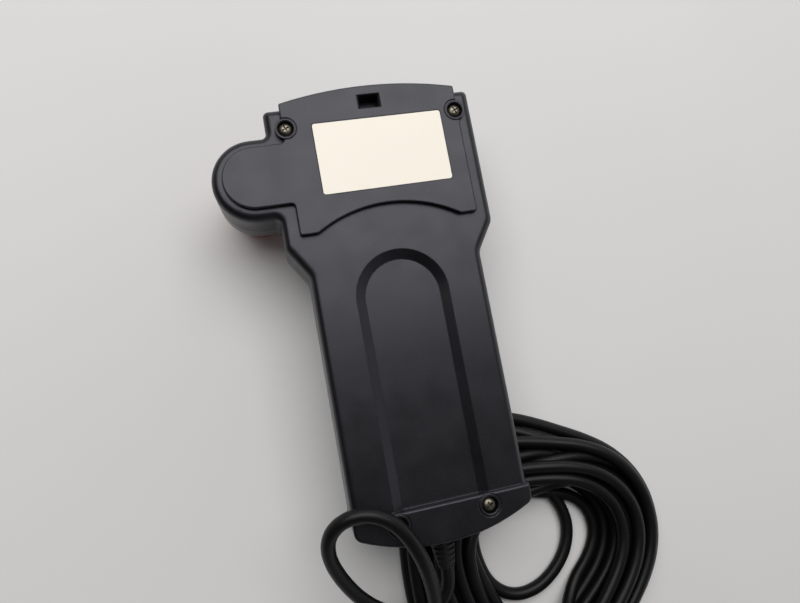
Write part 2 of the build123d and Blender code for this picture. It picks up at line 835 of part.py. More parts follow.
def cable_tube(name, points):
    """Straight runs joined by the largest tangent arcs; prints each bend's radius."""
    vectors = [Vector(*p) for p in points]
    radii = []
    for before, here, after in zip(vectors, vectors[1:], vectors[2:]):
        turn = (here - before).get_angle(after - here)
        shorter = min((here - before).length, (after - here).length)
        radii.append(0.45 * shorter / tan(radians(turn) / 2))
    print(name, "bend radii in diameters", [round(r / cable_diameter, 1) for r in radii])
    path = FilletPolyline(*points, radius=radii)
    section = Plane(origin=path @ 0, z_dir=path % 0) * Circle(cable_diameter / 2)
    tube = sweep(section, path=path)
    share = tube.volume / (path.length * pi * cable_diameter**2 / 4)
    print(name, "length", round(path.length, 1), "volume share", round(share, 4))
    return tube


def coil_edge(turn):
    """Outer edge of the loose turns in one direction."""
    reach = coil_radius + coil_lobe * cos(3 * (turn - radians(coil_lobe_turn)))
    return coil_x + reach * cos(turn), coil_y + reach * sin(turn)


def cable_coil():
    """Outer form of the loose ring of turns lying on the table."""
    high = cable_diameter * coil_layers + 1.2
    edge = Spline(*[coil_edge(radians(step)) for step in range(0, 360, 15)], periodic=True)
    ring = prism(make_face(edge) - Pos(coil_hole_x, coil_hole_y) * Circle(coil_hole), 0, high)
    top = [e for e in ring.edges() if near(e.center().Z, high)]
    return fillet(top, 4.0)


def outside_of(tube, coil):
    """The tube's stretch outside the coil, which it meets face to face."""
    return max((tube - coil).solids(), key=lambda s: s.volume)


# Plug at the cable's end

plug_start = Vector(*end_points[-1])
plug_heading = (plug_start - Vector(*end_points[-2])).normalized()
plug_angle = degrees(atan2(plug_heading.Y, plug_heading.X))


def on_table(solid):
    """Lays what is drawn along +Y at the plug's place, its grip touching the table."""
    return Pos(plug_start.X, plug_start.Y, plug_radius) * Rot(0, 0, plug_angle - 90) * solid


def plug_turned(profile):
    """Turns (radius, distance) points about the plug's own axis."""
    return on_table(revolve(closed_face(profile), Axis.Y))


def plug_relief():
    """Tapered tail of the plug with its rings."""
    ribs = 5
    pitch = plug_relief_length / ribs
    points = [(0, 0)]
    for i in range(ribs):
        outer = cable_diameter / 2 + 0.7 + 1.5 * i / (ribs - 1)
        points.append((outer, i * pitch))
        points.append((outer, (i + 0.6) * pitch))
        points.append((outer - 0.6, (i + 0.6) * pitch))
        points.append((outer - 0.6, (i + 1) * pitch))
    points.append((0, plug_relief_length))
    return plug_turned(points)


def plug_body():
    """Moulded grip, a little waisted."""
    low = plug_relief_length
    high = low + plug_length
    edges = [
        Line((0, low), (plug_radius - 1.4, low)),
        Line((plug_radius - 1.4, low), (plug_radius, low + 1.6)),
        Line((plug_radius, low + 1.6), (plug_radius, low + 7)),
        ThreePointArc((plug_radius, low + 7), (plug_radius - 0.6, (low + high) / 2), (plug_radius, high - 7)),
        Line((plug_radius, high - 7), (plug_radius, high - 0.8)),
        Line((plug_radius, high - 0.8), (plug_radius - 0.8, high)),
        Line((plug_radius - 0.8, high), (0, high)),
        Line((0, high), (0, low)),
    ]
    return on_table(revolve(make_face(edges), Axis.Y))


def plug_shell():
    """Metal sleeve of the round plug."""
    low = plug_relief_length + plug_length
    inner = plug_shell_radius - plug_shell_wall
    high = low + plug_shell_length
    return plug_turned([(inner, low), (plug_shell_radius, low), (plug_shell_radius, high), (inner, high)])


def plug_insert():
    """Insulating disc that holds the pins inside the sleeve."""
    low = plug_relief_length + plug_length
    inner = plug_shell_radius - plug_shell_wall
    return plug_turned([(0, low), (inner, low), (inner, low + plug_insert_sink), (0, low + plug_insert_sink)])


def plug_pin_set():
    """Contact pins on one circle, standing out of the insert."""
    low = plug_relief_length + plug_length + plug_insert_sink
    pins = []
    for i in range(plug_pins):
        turn = 2 * pi * (i + 0.5) / (plug_pins + 1) + pi / 2
        pin = Rot(90, 0, 0) * Cylinder(plug_pin_radius, plug_pin_length)
        pin = Pos(plug_pin_circle * cos(turn), low + plug_pin_length / 2, plug_pin_circle * sin(turn)) * pin
        pins.append(on_table(pin))
    return pins


def main():
    os.makedirs("parts", exist_ok=True)
    write_here("rear_cover", rear_cover())
    write_here("front_cover", front_cover())
    write_here("cover_screws", *cover_screws())
    write_here("rating_plate", rating_plate())
    write_here("housing_seal", housing_seal())
    write_here("display_window", display_window())
    write_here("display_glass", display_glass())
    write_here("display_module", display_module())
    write_here("display_ribbon", display_ribbon())
    for i, (x, y) in enumerate(key_places()):
        write_here(f"key_{i // key_columns + 1}_{i % key_columns + 1}", key(x, y))
    write_here("keypad_mat", keypad_mat())
    write_here("main_board", main_board())
    write_here("board_screws", *board_screws())
    write_here("board_chips", *board_chips())
    write_here("buzzer", buzzer())
    write_here("cable_header", cable_header())
    write_here("stop_head", stop_head())
    write_here("stop_stem", stop_stem())
    write_here("stop_barrel", stop_barrel())
    write_here("stop_seal", stop_seal())
    write_here("stop_nut", stop_nut())
    write_here("stop_spring", stop_spring())
    write_here("contact_block", contact_block())
    write_here("contact_terminals", *contact_terminals())
    write_here("strain_relief", strain_relief())
    write_here("cable_core", cable_core())
    write_here("cable_clamp", cable_clamp())
    write_here("clamp_screws", *clamp_screws())
    coil = cable_coil()
    write("cable_lead", outside_of(cable_tube("cable_lead", lead_points), coil))
    write("cable_coil", coil)
    write("cable_end", outside_of(cable_tube("cable_end", end_points), coil))
    write("plug_relief", plug_relief())
    write("plug_body", plug_body())
    write("plug_shell", plug_shell())
    write("plug_insert", plug_insert())
    write("plug_pins", *plug_pin_set())


main()
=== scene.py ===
"""Looks of a teach pendant lying face down on its coiled cable.

Lengths are in metres in the pendant's own frame: +X to the right and +Y to the head as the rear
is seen, +Z out of the rear cover, and z = 0 on the table.
"""

import math

import bpy
import numpy as np
from mathutils import Matrix, Vector


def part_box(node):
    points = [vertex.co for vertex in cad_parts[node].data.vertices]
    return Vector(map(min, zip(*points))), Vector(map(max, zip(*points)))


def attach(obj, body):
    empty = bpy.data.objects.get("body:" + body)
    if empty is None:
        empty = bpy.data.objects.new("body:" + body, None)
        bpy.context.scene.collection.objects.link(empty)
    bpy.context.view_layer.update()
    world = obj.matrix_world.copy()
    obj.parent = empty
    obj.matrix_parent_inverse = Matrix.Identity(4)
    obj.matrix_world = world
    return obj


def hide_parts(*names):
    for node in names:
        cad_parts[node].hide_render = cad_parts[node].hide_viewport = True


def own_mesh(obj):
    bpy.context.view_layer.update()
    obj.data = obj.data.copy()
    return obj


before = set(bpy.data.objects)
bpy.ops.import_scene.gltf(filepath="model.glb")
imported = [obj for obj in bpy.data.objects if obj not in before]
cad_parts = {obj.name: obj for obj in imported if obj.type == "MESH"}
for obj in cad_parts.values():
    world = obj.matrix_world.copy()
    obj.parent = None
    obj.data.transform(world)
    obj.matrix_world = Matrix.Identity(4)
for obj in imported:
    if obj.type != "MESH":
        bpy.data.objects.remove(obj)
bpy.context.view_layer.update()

bl_info = {
    "name": "Teach pendant",
    "version": (1, 0, 0),
    "blender": (4, 5, 0),
    "location": "View3D > Sidebar > Pendant",
    "description": "Finishes, cable and small pieces of a teach pendant",
    "category": "Object",
}

# The cable's free route, from the strain relief's tip to the coil, millimetres
CABLE_LEAD = [
    (11.7, -105.05, 29.2), (11.7, -111.05, 29.2), (7.9, -117.2, 28.8), (0.8, -120.4, 28.2),
    (-8.2, -119.6, 28.2), (-17.0, -115.0, 29.6), (-25.0, -106.6, 33.4), (-30.8, -95.8, 39.0),
    (-33.6, -85.8, 45.0), (-32.2, -77.8, 50.0), (-26.4, -72.8, 53.6), (-18.2, -72.0, 55.0),
    (-10.2, -75.8, 55.0), (-4.4, -83.2, 53.8), (-0.2, -93.4, 51.4), (2.2, -105.6, 46.0),
    (2.8, -118.8, 38.8), (4.6, -131.2, 31.2), (9.8, -142.8, 25.0), (18.0, -149.6, 22.0),
]
# Over the ring and down inside it
CABLE_ENTRY = [
    (29.0, -155.5, 22.5), (42.0, -158.5, 23.5), (54.5, -155.5, 21.0), (64.0, -148.5, 12.0), (69.5, -140.0, 5.0),
]
# Out of the ring to the plug
CABLE_EXIT = [(46.0, -168.0, 4.2), (56.0, -171.6, 3.0)]
CABLE_TAIL = [(68.0, -175.4, 3.0), (82.0, -180.0, 4.4), (97.0, -183.6, 6.6), (115.0, -184.6, 6.6)]
COIL_CENTRE = (56.0, -116.5)
COIL_RADIUS = 54.8          # middle line of the outermost turn
HEAP_CENTRE = (58.0, -114.0)
HEAP_RADIUS = 48.6          # the same where the turns are heaped
COIL_LOBE = 4.4             # how far a turn of LOBE_RADIUS bulges at three sides
LOBE_RADIUS = 55.0
COIL_LOBE_TURN = 10.0
INNER_LOOP = (48.0, -104.5, 24.5)   # centre and radius of the loose loop inside
# Each turn from the entry to the exit: its place across the ring (0 is outermost) and its layer
# where the ring lies wide and low, both where it is heaped, and how far it strays to the left.
# The inner loop comes after the first.
COIL_TURNS = [
    (4.3, 0.0, 4.3, 0.0, 0.0), (3.9, 0.0, 2.4, 0.0, 0.0), (2.9, 0.0, 1.3, 0.0, 0.0), (1.9, 0.0, 0.2, 0.0, 0.0),
    (0.9, 0.0, 0.7, 1.0, 0.0), (0.1, 0.0, 1.8, 1.0, 5.0), (0.5, 1.0, 2.4, 2.0, 0.0), (1.5, 1.0, 1.2, 2.0, 0.0),
    (2.5, 1.0, 0.1, 2.0, 0.0), (3.5, 1.0, 0.7, 3.0, 0.0), (4.3, 1.0, 1.9, 2.9, 0.0), (3.7, 2.0, 2.3, 3.4, 0.0),
    (2.7, 2.0, 1.3, 3.9, 0.0), (1.7, 2.0, 0.4, 3.7, 0.0), (0.0, 1.0, -0.2, 1.0, 0.0),
]
WIDE_PITCH, HEAP_PITCH = 5.5, 4.9    # from one place to the next
HEAP_TURN = -8.0            # where the heap is highest, degrees
HEAP_RISE = 0.8             # how steeply the ring rises to the heap
COIL_START = -66.0          # where the first turn starts, degrees
COIL_LAST = 0.855           # share of the last turn
LOOP_HELD = 0.25            # share of the inner loop that keeps its shape
UNDER_PENDANT = (-24.0, 48.5, -93.0)  # low x, high x and low y of the grip over the coil
UNDER_HEIGHT = 14.9         # the cable's middle stays below this there
WIDE_LAYER, HEAP_LAYER = 5.3, 4.8    # from one layer to the next
LOWEST = 2.8                # height of the lowest layer's middle line
TURN_POINTS = 44            # points laid along each turn
LOBE_SHIFT, LOBE_TURN_SHIFT = 0.5, 9.0   # how much the turns' bulges differ, millimetres and degrees
STEP = 4.0                  # spacing of the points that settle
SEED = 11
SEARCH_EVERY = 8            # rounds of settling between two searches for near points
SEARCH_REACH = 2.2          # how far a search looks, in diameters
SEARCH_APART = 6            # points this close along the cable aren't pushed apart
LARGEST_PUSH = 1.5
FREE_HEIGHT = 40.0          # the cable's middle stays below this beside the grip
TURNS_FROM = 3              # the laid turns' first points, which the entry stands for
SEEK_START, SEEK_END = 80, 60        # points in which the ends of the settling stretch are looked for
CONTROL_EVERY = 3           # settled points to each control point
TABLE_GAP = 0.01

# What the keys say, row by row from the head, from left to right as the front is seen
KEY_LEGENDS = [
    ("F1", "F2", "F3", "F4"), ("7", "8", "9", "up"), ("4", "5", "6", "down"), ("1", "2", "3", "left"),
    ("0", ".", "-", "right"),
]
LEGEND_TURNS = {"right": 0.0, "up": 90.0, "left": 180.0, "down": 270.0}
DIGIT_SIZE, WORD_SIZE, KEY_ARROW_SIZE = 0.0040, 0.0030, 0.0021
PRINT_THICKNESS = 0.00003

# The stop button's arrows and spring, metres
STOP_DOME = ((0.00726, 0.000544), (0.0110, 0.002108))   # two points of the face: radius, fall from its middle
ARROW_RADIUS = 0.0072
ARROW_HALF_SHAFT, ARROW_HALF_HEAD = 0.0006, 0.0017
ARROW_PROUD, ARROW_SUNK = 0.00004, 0.00012
ARROW_NECK, ARROW_TIP = 52.0, 72.0   # where the shaft and the head end, degrees from the arrow's start
SPRING_WIRE = 0.0006
SPRING_TURNS = 5

# Stage, metres
TABLE_HALF = 1.5
TABLE_FADE = (0.40, 0.95)   # where the table starts to fade into the backdrop, and where it has
LAMP_SIZE = (1.6, 1.18)
ROOM_COLOUR = (0.97, 0.98, 1.0)
ROOM_RISE = (0.04, 0.68)    # how high the low light ends and the high light starts, 1 is straight up
HEAD_SHARE = 0.6            # how bright the head's side is beside the right one
CAMERA_PLACE = (-0.0319, -0.0211, 0.2758)
CAMERA_HEADING = (0.177, 0.096, -0.980)
CAMERA_UP = (0.163, 0.979, 0.125)


class PendantColours(bpy.types.PropertyGroup):
    """Colours of the pendant's pieces."""

    housing: bpy.props.FloatVectorProperty(
        name="Housing", description="Moulded covers", subtype="COLOR", default=(0.0055, 0.0054, 0.0066))
    plate: bpy.props.FloatVectorProperty(
        name="Plate", description="Bare rating plate", subtype="COLOR", default=(0.94, 0.86, 0.73))
    cable: bpy.props.FloatVectorProperty(
        name="Cable", description="Cable jacket", subtype="COLOR", default=(0.0036, 0.0036, 0.0040))
    stop: bpy.props.FloatVectorProperty(
        name="Stop button", description="Mushroom cap", subtype="COLOR", default=(0.42, 0.008, 0.007))
    collar: bpy.props.FloatVectorProperty(
        name="Collar", description="Ring under the stop button", subtype="COLOR", default=(0.72, 0.50, 0.02))
    keys: bpy.props.FloatVectorProperty(
        name="Keys", description="Key tops", subtype="COLOR", default=(0.30, 0.31, 0.33))
    ink: bpy.props.FloatVectorProperty(
        name="Legends", description="Print on the keys", subtype="COLOR", default=(0.015, 0.015, 0.018))
    mark: bpy.props.FloatVectorProperty(
        name="Arrows", description="Arrows on the stop button", subtype="COLOR", default=(0.80, 0.80, 0.78))


class CableSizes(bpy.types.PropertyGroup):
    """Sizes of the free cable."""

    diameter: bpy.props.FloatProperty(
        name="Diameter", description="Cable jacket's diameter", subtype="DISTANCE", default=0.0055, precision=4)
    length: bpy.props.FloatProperty(
        name="Length", description="Whole cable from the relief to the plug", subtype="DISTANCE", default=5.0)
    shift: bpy.props.FloatProperty(
        name="Shift", description="How far the coil's turns lie from their middle", subtype="DISTANCE",
        default=0.0013, precision=4)


class StageLook(bpy.types.PropertyGroup):
    """Table, lamps and camera."""

    floor: bpy.props.FloatVectorProperty(
        name="Table", description="Table top's colour", subtype="COLOR", default=(0.80, 0.785, 0.775))
    backdrop: bpy.props.FloatVectorProperty(
        name="Backdrop", description="Colour that the table fades into", subtype="COLOR", default=(0.62, 0.61, 0.60))
    lamp: bpy.props.FloatProperty(
        name="Lamp", description="Strength of the large lamp", unit="POWER", default=18.5)
    lamp_height: bpy.props.FloatProperty(
        name="Lamp height", description="Height of the lamp over the table", subtype="DISTANCE", default=1.2)
    lamp_near: bpy.props.FloatProperty(
        name="Lamp's near edge", description="Where the lamp starts, towards the head", subtype="DISTANCE",
        default=0.105)
    horizon: bpy.props.FloatProperty(
        name="Low light", description="Strength of the room's light from the sides", default=0.65)
    side: bpy.props.FloatProperty(
        name="Brighter side", description="How much brighter the room is at the right and the head", default=0.85)
    sky: bpy.props.FloatProperty(
        name="High light", description="Strength of the room's light from above", default=0.11)
    lens: bpy.props.FloatProperty(
        name="Lens", description="Camera's focal length in millimetres", default=27.17)


# Small helpers for materials

SHADER_SOCKETS = {
    "colour": "Base Color", "metal": "Metallic", "rough": "Roughness", "ior": "IOR", "specular": "Specular IOR Level",
    "tint": "Specular Tint", "see_through": "Transmission Weight", "normal": "Normal",
}
DUST_COLOUR = (0.16, 0.155, 0.15)
# How often each pattern repeats along a metre
DUST_SCALE = 620.0
PLASTIC_TONE, PLASTIC_GLOSS = 55.0, 90.0
METAL_TONE, METAL_GLOSS = 420.0, 300.0


class Mat:
    """A material's node tree, filled step by step."""

    def __init__(self, name):
        self.material = bpy.data.materials.new(name)
        self.material.use_nodes = True
        self.tree = self.material.node_tree
        self.shader = self.tree.nodes["Principled BSDF"]

    def node(self, kind, **sockets):
        made = self.tree.nodes.new(kind)
        for key, value in sockets.items():
            made.inputs[key.replace("_", " ")].default_value = value
        return made

    def join(self, out, socket):
        self.tree.links.new(out, socket)

    def place(self):
        """The piece's own coordinates in metres."""
        return self.node("ShaderNodeTexCoord").outputs["Object"]

    def noise(self, scale, detail=2.0, roughness=0.5):
        made = self.node("ShaderNodeTexNoise", Scale=scale, Detail=detail, Roughness=roughness)
        self.join(self.place(), made.inputs["Vector"])
        return made.outputs["Fac"]

    def spread(self, value, low, high, out_low, out_high):
        """Maps one range of a value to another."""
        made = self.node("ShaderNodeMapRange")
        made.inputs["From Min"].default_value = low
        made.inputs["From Max"].default_value = high
        made.inputs["To Min"].default_value = out_low
        made.inputs["To Max"].default_value = out_high
        self.join(value, made.inputs["Value"])
        return made.outputs["Result"]

    def blend(self, factor, first, second):
        """Mixes two colours by a factor."""
        made = self.tree.nodes.new("ShaderNodeMix")
        made.data_type = "RGBA"
        for socket, value in ((made.inputs[6], first), (made.inputs[7], second)):
            if isinstance(value, bpy.types.NodeSocket):
                self.join(value, socket)
            else:
                socket.default_value = (*value[:3], 1.0)
        self.join(factor, made.inputs[0])
        return made.outputs[2]

    def bump(self, height, strength, distance, after=None):
        made = self.node("ShaderNodeBump", Strength=strength, Distance=distance)
        self.join(height, made.inputs["Height"])
        if after is not None:
            self.join(after, made.inputs["Normal"])
        return made.outputs["Normal"]

    def set(self, **values):
        for key, value in values.items():
            socket = self.shader.inputs[SHADER_SOCKETS[key]]
            if isinstance(value, bpy.types.NodeSocket):
                self.join(value, socket)
            elif key in ("colour", "tint"):
                socket.default_value = (*value[:3], 1.0)
            else:
                socket.default_value = value


def shade(colour, factor):
    """A colour made darker or lighter by a factor."""
    return tuple(channel * factor for channel in colour)


def moulded(name, colour, rough=0.5, specular=0.4, grain=0.00028, depth=0.00003, mottle=0.12, dust=0.0,
             tint=(1.0, 1.0, 1.0), edge=0.0):
    """Moulded plastic or rubber: fine spark-eroded grain, slightly uneven gloss and tone, specks of dust, and
    edges that catch the light as if rounded by a radius."""
    m = Mat(name)
    tone = m.spread(m.noise(PLASTIC_TONE, 3.0), 0.35, 0.65, 0.0, 1.0)
    mixed = m.blend(tone, shade(colour, 1.0 - mottle), shade(colour, 1.0 + mottle))
    if dust:
        specks = m.node("ShaderNodeTexVoronoi", Scale=DUST_SCALE)
        m.join(m.place(), specks.inputs["Vector"])
        near = m.spread(specks.outputs["Distance"], 0.05, 0.12, dust, 0.0)
        mixed = m.blend(near, mixed, DUST_COLOUR)
    fine = m.noise(1.0 / grain, 2.0, 0.55)
    rounded = None
    if edge:
        soft = m.node("ShaderNodeBevel", Radius=edge)
        soft.samples = 6
        rounded = soft.outputs["Normal"]
    gloss = m.spread(m.noise(PLASTIC_GLOSS, 4.0), 0.3, 0.7, rough - 0.04, rough + 0.04)
    m.set(colour=mixed, tint=tint, rough=gloss, specular=specular, normal=m.bump(fine, 0.4, depth, rounded))
    return m.material


def metal(name, colour, rough=0.3, grain=0.00015, stain=0.25):
    """Plated or turned metal with faint scratches and stains."""
    m = Mat(name)
    tone = m.spread(m.noise(METAL_TONE, 3.0), 0.35, 0.7, 0.0, 1.0)
    m.set(colour=m.blend(tone, shade(colour, 1.0 - stain), colour), metal=1.0,
          rough=m.spread(m.noise(METAL_GLOSS, 3.0), 0.3, 0.7, rough - 0.06, rough + 0.08),
          normal=m.bump(m.noise(1.0 / grain, 2.0), 0.3, 0.00001))
    return m.material


def dress(material, *nodes):
    """Gives CAD pieces a material, keeping their shape."""
    for name in nodes:
        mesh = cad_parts[name].data
        mesh.materials.clear()
        mesh.materials.append(material)


def mm(points):
    """Points in millimetres as metres."""
    return [tuple(c * 0.001 for c in p) for p in points]


# Cable


def eased(share):
    """Smooth step from 0 to 1."""
    return share * share * (3.0 - 2.0 * share)


def laid_turns(shift):
    """The coil as it is first laid: a turn's radius swells as the cosine of three times the angle, its centre,
    radius and height ease into those of the next turn, and between the wide and the heaped side."""
    rng = np.random.default_rng(SEED)
    turns = np.array(COIL_TURNS)
    rows = []
    for centre, radius, pitch, layer_height, across, left in (
            (COIL_CENTRE, COIL_RADIUS, WIDE_PITCH, WIDE_LAYER, turns[:, :2], turns[:, 4]),
            (HEAP_CENTRE, HEAP_RADIUS, HEAP_PITCH, HEAP_LAYER, turns[:, 2:4], 0.0 * turns[:, 4])):
        radii = radius - pitch * across[:, 0]
        made = np.stack([
            centre[0] - left, np.full(len(turns), centre[1]), radii, COIL_LOBE * radii / LOBE_RADIUS,
            LOWEST + layer_height * across[:, 1], np.full(len(turns), COIL_LOBE_TURN)], 1)
        rows.append(np.vstack([made[:1], [(*INNER_LOOP, 1.0, LOWEST, COIL_LOBE_TURN)], made[1:]]))
    count = len(rows[0])
    stray = np.zeros((count, 6))
    stray[2:, :2] = rng.normal(0.0, shift, (count - 2, 2))
    stray[2:, 3] = rng.normal(0.0, LOBE_SHIFT, count - 2)
    stray[2:, 5] = rng.normal(0.0, LOBE_TURN_SHIFT, count - 2)
    wide, heaped = rows[0] + stray, rows[1] + 0.5 * stray
    place = np.arange(int((count - 1 + COIL_LAST) * TURN_POINTS) + 1) / TURN_POINTS
    turn = np.minimum(place.astype(int), count - 2)
    share = np.minimum(place - turn, 1.0)
    share = np.where(turn == 1, np.clip((share - LOOP_HELD) / (1.0 - LOOP_HELD), 0.0, 1.0), share)
    share = eased(share)[:, None]
    angle = np.radians(COIL_START) + 2.0 * np.pi * place
    heap = eased(np.clip(0.5 + HEAP_RISE * np.cos(angle - np.radians(HEAP_TURN)), 0.0, 1.0))[:, None]
    low = wide[turn] * (1.0 - share) + wide[turn + 1] * share
    high = heaped[turn] * (1.0 - share) + heaped[turn + 1] * share
    x, y, radius, lobe, height, lobe_turn = (low * (1.0 - heap) + high * heap).T
    radius = radius + lobe * np.cos(3.0 * (angle - np.radians(lobe_turn)))
    return np.stack([x + radius * np.cos(angle), y + radius * np.sin(angle), height], 1)


def smooth_line(points, steps=3):
    """The quadratic B-spline of control points: each piece runs from midpoint to midpoint."""
    points = np.vstack([points[:1], points, points[-1:]])
    first, middle, last = (points[:-2] + points[1:-1]) / 2.0, points[1:-1], (points[1:-1] + points[2:]) / 2.0
    t = np.linspace(0.0, 1.0, steps, endpoint=False)[None, :, None]
    line = (1.0 - t) ** 2 * first[:, None] + 2.0 * t * (1.0 - t) * middle[:, None] + t ** 2 * last[:, None]
    return line.reshape(-1, 3)


def evenly(line, step):
    """The line's points at an even spacing along its length."""
    run = np.concatenate([[0.0], np.cumsum(np.linalg.norm(np.diff(line, axis=0), axis=1))])
    at = np.linspace(0.0, run[-1], int(round(run[-1] / step)) + 1)
    return np.stack([np.interp(at, run, line[:, axis]) for axis in range(3)], 1)


def settled(points, free, diameter, rounds=260, fall=0.12, stiffness=0.3):
    """Lets the laid turns settle: points nearer than a diameter push each other apart, gravity fades
    away, what moves is smoothed along the cable, its length is kept, and it stays over the table and
    under the grip."""
    count = len(points)
    index = np.arange(count)
    rest = np.linalg.norm(np.diff(points, axis=0), axis=1)
    free = free[:, None].astype(float)
    start = points.copy()
    for turn in range(rounds):
        if turn % SEARCH_EVERY == 0:
            apart = np.linalg.norm(points[:, None, :] - points[None, :, :], axis=2)
            along = index[None, :] - index[:, None]
            one, other = np.nonzero((apart < SEARCH_REACH * diameter) & (along > SEARCH_APART))
        between = points[one] - points[other]
        far = np.maximum(np.linalg.norm(between, axis=1), 0.3)
        push = np.clip(diameter - far, 0.0, LARGEST_PUSH) * stiffness
        step = between * (push / far)[:, None]
        move = np.stack([
            np.bincount(one, step[:, axis], count) - np.bincount(other, step[:, axis], count) for axis in range(3)], 1)
        touching = np.bincount(one, push > 0, count) + np.bincount(other, push > 0, count)
        move /= np.sqrt(np.maximum(touching, 1))[:, None]
        move[:, 2] -= fall * (1.0 - turn / rounds)
        moved = points + move * free - start
        for _ in range(2):
            moved[1:-1] += 0.25 * (moved[:-2] + moved[2:] - 2.0 * moved[1:-1]) * free[1:-1]
        points = start + moved
        runs = np.diff(points, axis=0)
        lengths = np.linalg.norm(runs, axis=1)
        pull = runs * ((lengths - rest) * stiffness / lengths)[:, None]
        points[:-1] += pull * free[:-1]
        points[1:] -= pull * free[1:]
        low_x, high_x, low_y = UNDER_PENDANT
        under = (points[:, 0] > low_x) & (points[:, 0] < high_x) & (points[:, 1] > low_y)
        points[:, 2] = np.clip(points[:, 2], diameter / 2.0, np.where(under, UNDER_HEIGHT, FREE_HEIGHT))
    return points


def cable_route(shift, diameter):
    """The whole cable's control points, millimetres: the lead, the settled coil and the tail."""
    lead, tail = np.array(CABLE_LEAD[-6:]), np.array(CABLE_TAIL)
    laid = np.vstack([lead, CABLE_ENTRY, laid_turns(shift)[TURNS_FROM:], CABLE_EXIT, tail])
    line = evenly(smooth_line(laid), STEP)
    first = np.argmin(np.linalg.norm(line[:SEEK_START] - lead[-1], axis=1))
    last = len(line) - SEEK_END + np.argmin(np.linalg.norm(line[-SEEK_END:] - tail[0], axis=1))
    free = np.ones(len(line), bool)
    free[:first + 1] = False
    free[last:] = False
    coil = settled(line, free, diameter)[first:last + 1:CONTROL_EVERY]
    bend = np.zeros_like(coil)
    bend[1:-1] = coil[:-2] - 2.0 * coil[1:-1] + coil[2:]
    coil = coil - bend / 8.0
    coil[:, 2] = np.maximum(coil[:, 2], diameter / 2.0 + TABLE_GAP)
    return [*CABLE_LEAD, *(tuple(point) for point in coil[2:-2].tolist()), *CABLE_TAIL]


def spline_piece(name, points, radius):
    """One smooth tube along its control points."""
    curve = bpy.data.curves.new(name, "CURVE")
    curve.dimensions = "3D"
    spline = curve.splines.new("NURBS")
    spline.points.add(len(points) - 1)
    flat = [value for point in points for value in (*point, 1.0)]
    spline.points.foreach_set("co", flat)
    spline.order_u = 3
    spline.use_endpoint_u = True
    spline.resolution_u = 6
    curve.bevel_depth = radius
    curve.bevel_resolution = 5
    curve.use_fill_caps = True
    piece = bpy.data.objects.new(name, curve)
    bpy.context.scene.collection.objects.link(piece)
    return piece


# Spring and print


def spring_surface(low, high, wire, turns):
    """A coil spring in a box: a small circle of the wire's radius carried along a helix, which goes once
    round the middle each turn and rises evenly, in the helix's own normal and binormal directions."""
    middle_x, middle_y = (low[0] + high[0]) / 2.0, (low[1] + high[1]) / 2.0
    radius = (high[0] - low[0]) / 2.0 - wire / 2.0
    start, rise = low[2] + wire / 2.0, high[2] - low[2] - wire
    steps, sides = 30 * turns, 10
    angle = np.linspace(0.0, 2.0 * np.pi * turns, steps + 1)[:, None]
    height = start + rise * angle / (2.0 * np.pi * turns)
    slope = rise / (2.0 * np.pi * turns)
    length = math.hypot(radius, slope)
    across = np.linspace(0.0, 2.0 * np.pi, sides, endpoint=False)[None, :]
    outward, sideways = wire / 2.0 * np.cos(across), wire / 2.0 * np.sin(across)
    x = middle_x + (radius + outward) * np.cos(angle) + sideways * slope / length * np.sin(angle)
    y = middle_y + (radius + outward) * np.sin(angle) - sideways * slope / length * np.cos(angle)
    z = height + sideways * radius / length
    points = np.stack([x, y, z], 2).reshape(-1, 3)
    first = (np.arange(steps)[:, None] * sides + np.arange(sides)[None, :]).reshape(-1)
    second = (np.arange(steps)[:, None] * sides + (np.arange(sides)[None, :] + 1) % sides).reshape(-1)
    walls = np.stack([first, first + sides, second + sides, second], 1).tolist()
    last = steps * sides
    return points, [list(range(sides)), *walls, list(range(last + sides - 1, last - 1, -1))]


def mesh_piece(name, points, faces, material):
    """One closed mesh from its points and faces."""
    mesh = bpy.data.meshes.new(name)
    mesh.from_pydata([tuple(point) for point in np.asarray(points).tolist()], [], faces)
    mesh.update()
    mesh.materials.append(material)
    piece = bpy.data.objects.new(name, mesh)
    bpy.context.scene.collection.objects.link(piece)
    return piece


def slab(outline, thickness):
    """A flat outline made a plate: its points once at z = 0 and once at z = thickness, joined by a wall."""
    count = len(outline)
    points = np.zeros((2 * count, 3))
    points[:, :2] = np.vstack([outline, outline])
    points[count:, 2] = thickness
    around = np.arange(count)
    after = (around + 1) % count
    walls = np.stack([around, after, after + count, around + count], 1).tolist()
    return points, [list(range(count))[::-1], list(range(count, 2 * count)), *walls]


def arrow_outline(size, turn):
    """A block arrow along +X, turned by an angle in degrees: a shaft and a triangle."""
    outline = size * np.array([
        (-1.0, -0.28), (0.05, -0.28), (0.05, -0.85), (1.0, 0.0), (0.05, 0.85), (0.05, 0.28), (-1.0, 0.28)])
    angle = math.radians(turn)
    return outline @ np.array([(math.cos(angle), math.sin(angle)), (-math.sin(angle), math.cos(angle))])


def word(text, size, thickness):
    """A short word as points and faces of a thin plate, centred on the origin."""
    curve = bpy.data.curves.new("Word", "FONT")
    curve.body = text
    curve.size = size
    curve.extrude = thickness / 2.0
    curve.resolution_u = 4
    holder = bpy.data.objects.new("Word", curve)
    mesh = bpy.data.meshes.new_from_object(holder)
    points = np.empty(len(mesh.vertices) * 3)
    mesh.vertices.foreach_get("co", points)
    points = points.reshape(-1, 3)
    points -= (points.min(0) + points.max(0)) / 2.0
    points[:, 2] += thickness / 2.0
    faces = [list(face.vertices) for face in mesh.polygons]
    bpy.data.objects.remove(holder)
    bpy.data.curves.remove(curve)
    bpy.data.meshes.remove(mesh)
    return points, faces


